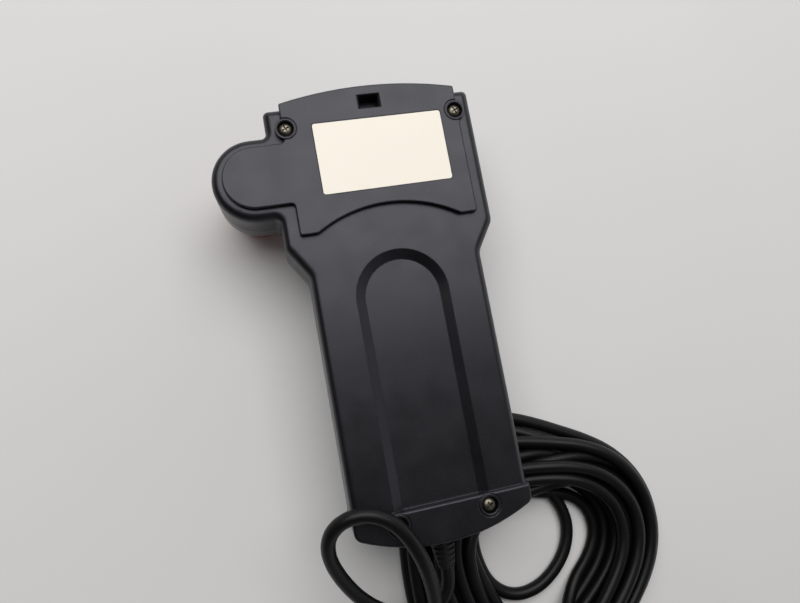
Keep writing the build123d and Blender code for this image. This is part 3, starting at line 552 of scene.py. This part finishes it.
def flat_on_front(points, place):
    """Turns a flat shape to face down, half sunk in the surface: x is mirrored, z goes down from the place."""
    points = np.asarray(points)
    high = points[:, 2].max()
    return np.stack([place[0] - points[:, 0], place[1] + points[:, 1], place[2] + high / 2.0 - points[:, 2]], 1)


def dome_height(radius):
    """How far the stop button's face falls back at a radius: the lower arc of the circle through the face's
    middle and two more points of its profile."""
    (x1, z1), (x2, z2) = STOP_DOME
    system = np.array([[2.0 * x1, 2.0 * z1], [2.0 * x2, 2.0 * z2]])
    centre_x, centre_z = np.linalg.solve(system, [x1 ** 2 + z1 ** 2, x2 ** 2 + z2 ** 2])
    return centre_z - np.sqrt(centre_x ** 2 + centre_z ** 2 - (radius - centre_x) ** 2)


def turning_arrow(start):
    """A curved arrow on the stop button's dome: rings of points at even angles round the cap's middle, as
    wide as the shaft and then tapering from the head's width to nothing, each as high as the dome there."""
    low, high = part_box("stop_head")
    middle = ((low[0] + high[0]) / 2.0, (low[1] + high[1]) / 2.0)
    angle = start + np.radians(np.array([
        *np.linspace(0.0, ARROW_NECK, 14), ARROW_NECK, *np.linspace(ARROW_NECK + 4.0, ARROW_TIP, 5)]))
    half = np.array([*np.full(14, ARROW_HALF_SHAFT), ARROW_HALF_HEAD, *np.linspace(0.0013, 0.00002, 5)])
    rings = []
    for side, sink in ((-1.0, -ARROW_PROUD), (1.0, -ARROW_PROUD), (1.0, ARROW_SUNK), (-1.0, ARROW_SUNK)):
        radius = ARROW_RADIUS + side * half
        rings.append(np.stack([
            middle[0] - radius * np.cos(angle), middle[1] + radius * np.sin(angle),
            low[2] + dome_height(radius) + sink], 1))
    points = np.stack(rings, 1).reshape(-1, 3)
    ring = np.arange(4)
    after = (ring + 1) % 4
    walls = []
    for step in range(len(angle) - 1):
        base = 4 * step
        walls += np.stack([base + ring, base + after, base + 4 + after, base + 4 + ring], 1).tolist()
    last = 4 * (len(angle) - 1)
    return points, [[3, 2, 1, 0], *walls, [last, last + 1, last + 2, last + 3]]


class PENDANT_OT_cable(bpy.types.Operator):
    """Lays the cable from the strain relief over the housing's corner into its coil and to the plug"""

    bl_idname = "pendant.cable"
    bl_label = "Cable"

    def execute(self, context):
        sizes = context.scene.pendant_cable
        colours = context.scene.pendant_colours
        route = cable_route(sizes.shift * 1000.0, sizes.diameter * 1000.0)
        cable = spline_piece("cable", mm(route), sizes.diameter / 2.0)
        jacket = moulded("Cable jacket", colours.cable, rough=0.40, specular=0.25, grain=0.0004, depth=0.00002)
        cable.data.materials.append(jacket)
        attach(cable, "housing")
        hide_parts("cable_lead", "cable_coil", "cable_end")
        return {"FINISHED"}


class PENDANT_OT_housing(bpy.types.Operator):
    """Finishes the two covers, the seal, the plate and the screws"""

    bl_idname = "pendant.housing"
    bl_label = "Housing"

    def execute(self, context):
        colours = context.scene.pendant_colours
        rear = moulded(
            "Housing plastic", colours.housing, rough=0.34, specular=0.52, dust=0.25,
            tint=(0.90, 0.90, 1.0), edge=0.0006)
        dress(rear, "rear_cover")
        # The front cover gets the housing's colour made 1.6 times lighter: a painted reflection of a bright table in
        # its walls.
        front = moulded(
            "Front cover plastic with painted reflection", shade(colours.housing, 1.6), rough=0.30, specular=0.85, dust=0.25,
            tint=(0.95, 0.95, 1.0))
        dress(front, "front_cover")
        dress(moulded("Seal rubber", (0.01, 0.01, 0.01), rough=0.7, specular=0.3), "housing_seal", "stop_seal")
        plate = Mat("Plate film")
        tone = plate.spread(plate.noise(30.0, 4.0), 0.3, 0.7, 0.0, 1.0)
        plate.set(colour=plate.blend(tone, shade(colours.plate, 0.97), colours.plate), rough=0.3, specular=0.8,
                  normal=plate.bump(plate.noise(2500.0, 2.0), 0.1, 0.00001))
        dress(plate.material, "rating_plate")
        dress(metal("Screw steel", (0.22, 0.20, 0.155), 0.33), "cover_screws", "board_screws", "clamp_screws")
        return {"FINISHED"}


class PENDANT_OT_fittings(bpy.types.Operator):
    """Finishes the strain relief, the plug and what is inside"""

    bl_idname = "pendant.fittings"
    bl_label = "Fittings"

    def execute(self, context):
        colours = context.scene.pendant_colours
        dress(moulded("Relief rubber", (0.006, 0.006, 0.007), rough=0.6, specular=0.35), "strain_relief", "plug_relief")
        dress(moulded("Plug grip", (0.012, 0.012, 0.013)), "plug_body", "cable_header", "contact_block")
        dress(moulded("Inner cable", colours.cable, rough=0.45), "cable_core")
        dress(metal("Nickel", (0.62, 0.60, 0.56), 0.22), "plug_shell")
        steel = metal("Spring steel", (0.50, 0.50, 0.50), 0.3)
        dress(steel, "cable_clamp", "display_module")

        low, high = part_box("stop_spring")
        spring = mesh_piece("spring", *spring_surface(low, high, SPRING_WIRE, SPRING_TURNS), steel)
        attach(spring, "housing")
        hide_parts("stop_spring")
        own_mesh(spring)

        dress(metal("Gold plate", (0.80, 0.58, 0.25), 0.25), "plug_pins", "contact_terminals")
        nylon = moulded("Black nylon", (0.012, 0.012, 0.012), rough=0.45)
        dress(nylon, "plug_insert", "stop_stem", "stop_nut", "board_chips", "buzzer")
        dress(moulded("Board", (0.010, 0.075, 0.030), rough=0.35, specular=0.5), "main_board")
        dress(moulded("Amber film", (0.45, 0.20, 0.04), rough=0.3, specular=0.5), "display_ribbon")
        dress(moulded("Key mat", (0.42, 0.43, 0.44), rough=0.6), "keypad_mat")
        return {"FINISHED"}


class PENDANT_OT_front(bpy.types.Operator):
    """Finishes the keys, the display and the stop button"""

    bl_idname = "pendant.front"
    bl_label = "Front"

    def execute(self, context):
        colours = context.scene.pendant_colours
        keys = [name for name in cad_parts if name.startswith("key_")]
        key_plastic = moulded(
            "Key plastic", colours.keys, rough=0.45, specular=0.45, grain=0.0003, depth=0.00002, mottle=0.05)
        dress(key_plastic, *keys)
        cap = moulded("Stop cap", colours.stop, rough=0.32, specular=0.5, grain=0.0006, depth=0.00001, mottle=0.06)
        dress(cap, "stop_head")
        collar = moulded(
            "Stop collar", colours.collar, rough=0.4, specular=0.45, grain=0.0005, depth=0.00001, mottle=0.05)
        dress(collar, "stop_barrel")
        window = Mat("Window")
        window.set(colour=(0.55, 0.60, 0.60), rough=window.spread(window.noise(60.0), 0.3, 0.7, 0.04, 0.1),
                   see_through=0.9, ior=1.49)
        dress(window.material, "display_window")
        screen = Mat("Screen")
        screen.set(colour=screen.blend(screen.noise(35.0), (0.14, 0.17, 0.13), (0.17, 0.20, 0.16)), rough=0.2)
        dress(screen.material, "display_glass")
        return {"FINISHED"}


class PENDANT_OT_print(bpy.types.Operator):
    """Prints numbers and arrows on the keys and turning arrows on the stop button"""

    bl_idname = "pendant.print"
    bl_label = "Print"

    def execute(self, context):
        colours = context.scene.pendant_colours
        ink = moulded("Key ink", colours.ink, rough=0.4, specular=0.5, grain=0.0002, depth=0.000004, mottle=0.05)
        middles = {}
        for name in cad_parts:
            if name.startswith("key_"):
                low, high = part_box(name)
                middles[name] = ((low[0] + high[0]) / 2.0, (low[1] + high[1]) / 2.0, low[2])
        rows = sorted({round(place[1], 5) for place in middles.values()}, reverse=True)
        columns = sorted({round(place[0], 5) for place in middles.values()}, reverse=True)
        for name, place in middles.items():
            legend = KEY_LEGENDS[rows.index(round(place[1], 5))][columns.index(round(place[0], 5))]
            if legend in LEGEND_TURNS:
                points, faces = slab(arrow_outline(KEY_ARROW_SIZE, LEGEND_TURNS[legend]), PRINT_THICKNESS)
            else:
                points, faces = word(legend, DIGIT_SIZE if len(legend) == 1 else WORD_SIZE, PRINT_THICKNESS)
            printed = flat_on_front(points, place)
            piece = mesh_piece(name + "_print", printed, faces, ink)
            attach(piece, name + "_cap")
        mark = moulded("Stop arrows", colours.mark, rough=0.4, specular=0.5, grain=0.0003, depth=0.000004, mottle=0.04)
        for number in range(3):
            points, faces = turning_arrow(math.radians(120.0 * number + 20.0))
            piece = mesh_piece("stop_arrow_%d" % (number + 1), points, faces, mark)
            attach(piece, "stop_button")
        return {"FINISHED"}


class PENDANT_OT_stage(bpy.types.Operator):
    """Makes the table, the lamps and the camera"""

    bl_idname = "pendant.stage"
    bl_label = "Stage"

    def execute(self, context):
        look = context.scene.pendant_stage
        scene = context.scene
        mesh = bpy.data.meshes.new("table_top")
        half = TABLE_HALF
        mesh.from_pydata([(-half, -half, 0), (half, -half, 0), (half, half, 0), (-half, half, 0)], [], [(0, 1, 2, 3)])
        table = bpy.data.objects.new("table_top", mesh)
        scene.collection.objects.link(table)
        finish = Mat("Table top")
        tone = finish.spread(finish.noise(6.0, 3.0), 0.3, 0.7, 0.0, 1.0)
        finish.set(colour=finish.blend(tone, shade(look.floor, 0.975), look.floor), rough=0.8, specular=0.2)
        # Far from the pendant the camera sees the backdrop's colour
        reach = finish.node("ShaderNodeVectorMath")
        reach.operation = "LENGTH"
        finish.join(finish.place(), reach.inputs[0])
        far = finish.spread(reach.outputs["Value"], *TABLE_FADE, 0.0, 1.0)
        seen = finish.node("ShaderNodeMath")
        seen.operation = "MULTIPLY"
        finish.join(far, seen.inputs[0])
        finish.join(finish.node("ShaderNodeLightPath").outputs["Is Camera Ray"], seen.inputs[1])
        glow = finish.node("ShaderNodeEmission", Strength=1.0)
        glow.inputs["Color"].default_value = (*look.backdrop, 1.0)
        faded = finish.node("ShaderNodeMixShader")
        finish.join(seen.outputs["Value"], faded.inputs[0])
        finish.join(finish.shader.outputs["BSDF"], faded.inputs[1])
        finish.join(glow.outputs["Emission"], faded.inputs[2])
        finish.join(faded.outputs["Shader"], finish.tree.nodes["Material Output"].inputs["Surface"])
        mesh.materials.append(finish.material)

        lamp = bpy.data.lights.new("Soft lamp", "AREA")
        lamp.shape = "RECTANGLE"
        lamp.size, lamp.size_y = LAMP_SIZE
        lamp.energy = look.lamp
        lamp_object = bpy.data.objects.new("Soft lamp", lamp)
        lamp_object.location = (0.0, look.lamp_near + lamp.size_y / 2.0, look.lamp_height)
        scene.collection.objects.link(lamp_object)

        world = bpy.data.worlds.new("Room")
        world.use_nodes = True
        tree = world.node_tree
        background = tree.nodes["Background"]
        background.inputs["Color"].default_value = (*ROOM_COLOUR, 1.0)
        backdrop = tree.nodes.new("ShaderNodeBackground")
        backdrop.inputs["Color"].default_value = (*look.backdrop, 1.0)
        either = tree.nodes.new("ShaderNodeMixShader")
        tree.links.new(tree.nodes.new("ShaderNodeLightPath").outputs["Is Camera Ray"], either.inputs[0])
        tree.links.new(background.outputs["Background"], either.inputs[1])
        tree.links.new(backdrop.outputs["Background"], either.inputs[2])
        tree.links.new(either.outputs["Shader"], tree.nodes["World Output"].inputs["Surface"])
        place = tree.nodes.new("ShaderNodeTexCoord")
        split = tree.nodes.new("ShaderNodeSeparateXYZ")
        rise = tree.nodes.new("ShaderNodeMapRange")
        rise.interpolation_type = "SMOOTHSTEP"
        rise.inputs["From Min"].default_value, rise.inputs["From Max"].default_value = ROOM_RISE
        rise.inputs["To Min"].default_value = look.horizon
        rise.inputs["To Max"].default_value = look.sky
        towards = tree.nodes.new("ShaderNodeVectorMath")
        towards.operation = "DOT_PRODUCT"
        towards.inputs[1].default_value = (look.side, HEAD_SHARE * look.side, 0.0)
        level = tree.nodes.new("ShaderNodeMath")
        level.operation = "ADD"
        level.inputs[1].default_value = 1.0
        strength = tree.nodes.new("ShaderNodeMath")
        strength.operation = "MULTIPLY"
        tree.links.new(place.outputs["Generated"], split.inputs["Vector"])
        tree.links.new(place.outputs["Generated"], towards.inputs[0])
        tree.links.new(towards.outputs["Value"], level.inputs[0])
        tree.links.new(split.outputs["Z"], rise.inputs["Value"])
        tree.links.new(rise.outputs["Result"], strength.inputs[0])
        tree.links.new(level.outputs["Value"], strength.inputs[1])
        tree.links.new(strength.outputs["Value"], background.inputs["Strength"])
        scene.world = world

        camera = bpy.data.cameras.new("Camera")
        camera.lens = look.lens
        camera.sensor_width = 36.0
        camera.clip_start = 0.01
        camera_object = bpy.data.objects.new("Camera", camera)
        scene.collection.objects.link(camera_object)
        camera_object.matrix_world = seen_from(CAMERA_PLACE, CAMERA_HEADING, CAMERA_UP)
        scene.camera = camera_object
        scene.view_settings.view_transform = "Standard"
        return {"FINISHED"}


def seen_from(place, heading, up):
    """A camera's matrix from where it stands, where it looks and what is up."""
    back = -Vector(heading).normalized()
    right = Vector(up).cross(back).normalized()
    true_up = back.cross(right)
    rows = [(right[i], true_up[i], back[i], place[i]) for i in range(3)]
    return Matrix([*rows, (0, 0, 0, 1)])


class PENDANT_PT_panel(bpy.types.Panel):
    """Lists the pieces, their sizes and their colours"""

    bl_idname = "PENDANT_PT_panel"
    bl_label = "Teach pendant"
    bl_space_type = "VIEW_3D"
    bl_region_type = "UI"
    bl_category = "Pendant"

    def draw(self, context):
        layout = self.layout
        for group in ("pendant_colours", "pendant_cable", "pendant_stage"):
            settings = getattr(context.scene, group)
            box = layout.box()
            for name in settings.__annotations__:
                box.prop(settings, name)
        for operator in OPERATORS:
            layout.operator(operator.bl_idname)


OPERATORS = (
    PENDANT_OT_stage, PENDANT_OT_cable, PENDANT_OT_housing, PENDANT_OT_fittings, PENDANT_OT_front, PENDANT_OT_print,
)
GROUPS = {"pendant_colours": PendantColours, "pendant_cable": CableSizes, "pendant_stage": StageLook}


def register():
    for group in GROUPS.values():
        bpy.utils.register_class(group)
    for name, group in GROUPS.items():
        setattr(bpy.types.Scene, name, bpy.props.PointerProperty(type=group))
    for operator in OPERATORS:
        bpy.utils.register_class(operator)
    bpy.utils.register_class(PENDANT_PT_panel)


def unregister():
    bpy.utils.unregister_class(PENDANT_PT_panel)
    for operator in reversed(OPERATORS):
        bpy.utils.unregister_class(operator)
    for name, group in GROUPS.items():
        delattr(bpy.types.Scene, name)
        bpy.utils.unregister_class(group)


def main():
    register()
    bpy.ops.pendant.stage()
    bpy.ops.pendant.cable()
    bpy.ops.pendant.housing()
    bpy.ops.pendant.fittings()
    bpy.ops.pendant.front()
    bpy.ops.pendant.print()
    bpy.context.view_layer.update()


if __name__ == "__main__":
    main()
